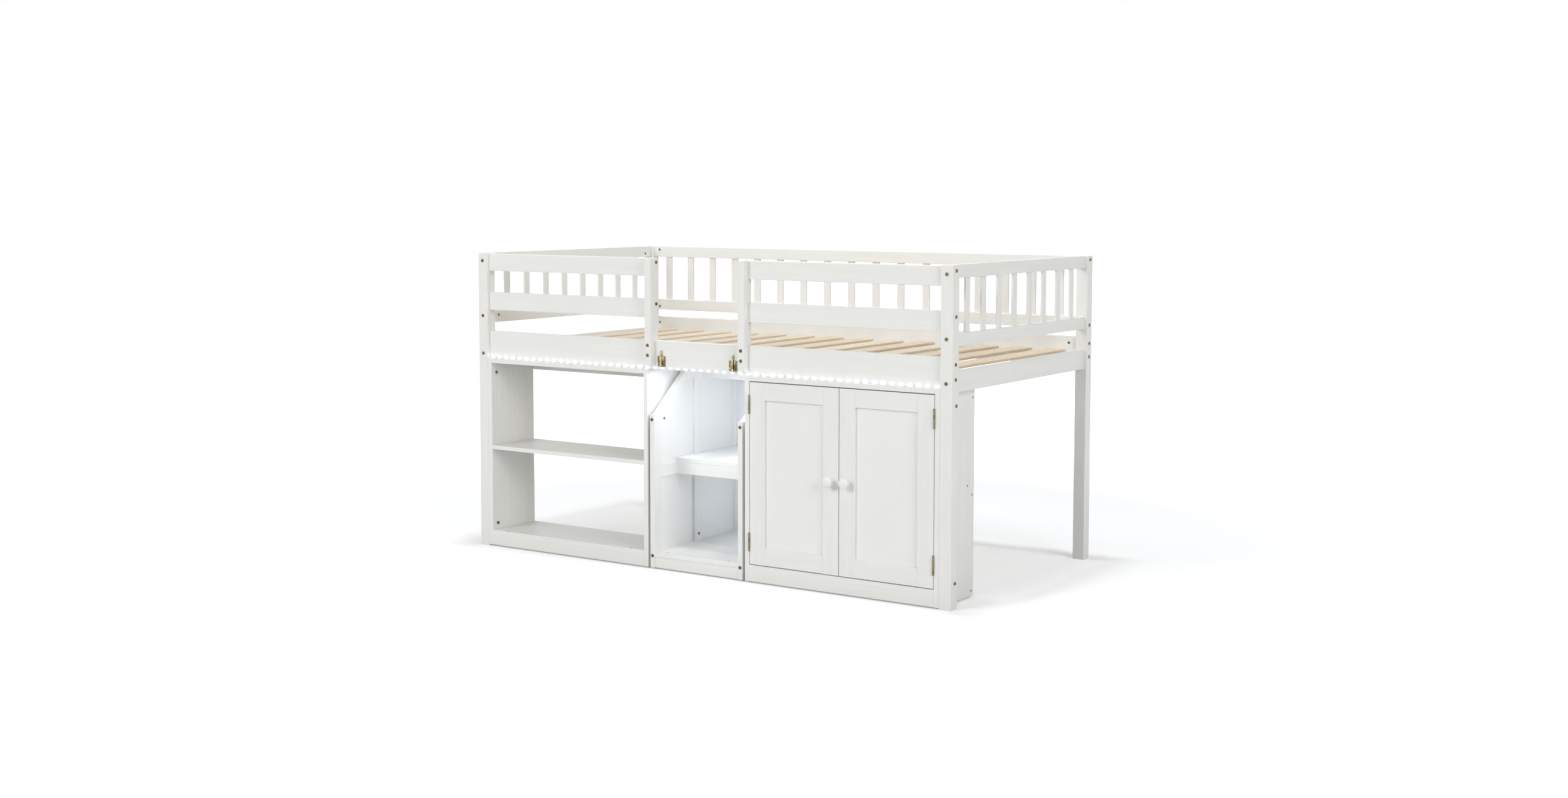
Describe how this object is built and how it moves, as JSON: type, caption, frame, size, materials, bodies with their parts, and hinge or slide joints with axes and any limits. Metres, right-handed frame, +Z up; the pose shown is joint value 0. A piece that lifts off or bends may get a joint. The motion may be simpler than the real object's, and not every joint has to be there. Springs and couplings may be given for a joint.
{
  "type": "cabin bed",
  "caption": "Low cabin bed with a slatted deck, barred guard rails, open bookcase, panelled cabinet and a pull-out staircase held by tower bolts.",
  "frame": {"origin": "middle of the whole bed's bounding box at rest, at floor level", "axes": "+Z up, +X along the bed's length towards the cabinet, front with units and doors towards -Y"},
  "size_m": [2.023, 1.08, 1.105],
  "materials": {
    "white_wood": "satin white lacquer",
    "pine": "bare planed pine",
    "bronze": "antique bronze plating",
    "brass": "lightly aged brass",
    "plastic": "moulded glides",
    "tape": "flexible white circuit tape",
    "light": "lit, cool white"
  },
  "bodies": {
    "bed": {"front_left_post": "white_wood", "front_right_post": "white_wood", "back_left_post": "white_wood", "back_right_post": "white_wood", "front_side_rail": "white_wood", "back_side_rail": "white_wood", "back_top_rail": "white_wood", "back_mid_rail": "white_wood", "end_top_rails": "white_wood", "end_mid_rails": "white_wood", "end_low_rails": "white_wood", "guard_top_rails": "white_wood", "guard_mid_rails": "white_wood", "left_guard_post": "white_wood", "right_guard_post": "white_wood", "end_bars": "white_wood", "back_bars": "white_wood", "slat_cleats": "white_wood", "mattress_slats": "pine", "led_tape": "tape", "led_chips": "light", "frame_bolts": "bronze", "barrel_nuts": "bronze", "dowels": "pine", "wood_screws": "bronze", "bookcase_sides": "white_wood", "bookcase_top": "white_wood", "bookcase_shelf": "white_wood", "bookcase_floor": "white_wood", "bookcase_plinth": "white_wood", "bookcase_stretchers": "white_wood", "cabinet_sides": "white_wood", "cabinet_top": "white_wood", "cabinet_shelf": "white_wood", "cabinet_floor": "white_wood", "cabinet_plinth": "white_wood", "cabinet_stretchers": "white_wood", "cabinet_back": "white_wood", "unit_glides": "plastic", "hinge_frame_leaves": "brass", "hinge_pins": "brass", "tower_bolt_plates": "brass"},
    "stair": {"stair_uprights": "white_wood", "stair_side_rails": "white_wood", "stair_side_panels": "white_wood", "stair_treads": "white_wood", "stair_risers": "white_wood", "stair_back": "white_wood", "stair_glides": "plastic", "stair_fixings": "bronze"},
    "left_door": {"left_door_frame": "white_wood", "left_door_panel": "white_wood", "left_knob": "white_wood", "left_hinge_leaves": "brass"},
    "right_door": {"right_door_frame": "white_wood", "right_door_panel": "white_wood", "right_knob": "white_wood", "right_hinge_leaves": "brass"},
    "left_tower_bolt": {"left_tower_bolt_rod": "brass"},
    "right_tower_bolt": {"right_tower_bolt_rod": "brass"}
  },
  "joints": [
    {"name": "stair_slide", "type": "slide", "parent": "bed", "child": "stair", "axis": [0, -1, 0], "range_m": [0, 0.49]},
    {"name": "left_door_hinge", "type": "hinge", "parent": "bed", "child": "left_door", "pos_m": [0.22875, -0.513, 0.3775], "axis": [0, 0, -1], "range_deg": [0, 90]},
    {"name": "right_door_hinge", "type": "hinge", "parent": "bed", "child": "right_door", "pos_m": [0.94625, -0.513, 0.3775], "axis": [0, 0, 1], "range_deg": [0, 110]},
    {"name": "left_tower_bolt_slide", "type": "slide", "parent": "bed", "child": "left_tower_bolt", "axis": [0, 0, -1], "range_m": [0, 0.024]},
    {"name": "right_tower_bolt_slide", "type": "slide", "parent": "bed", "child": "right_tower_bolt", "axis": [0, 0, -1], "range_m": [0, 0.024]}
  ]
}
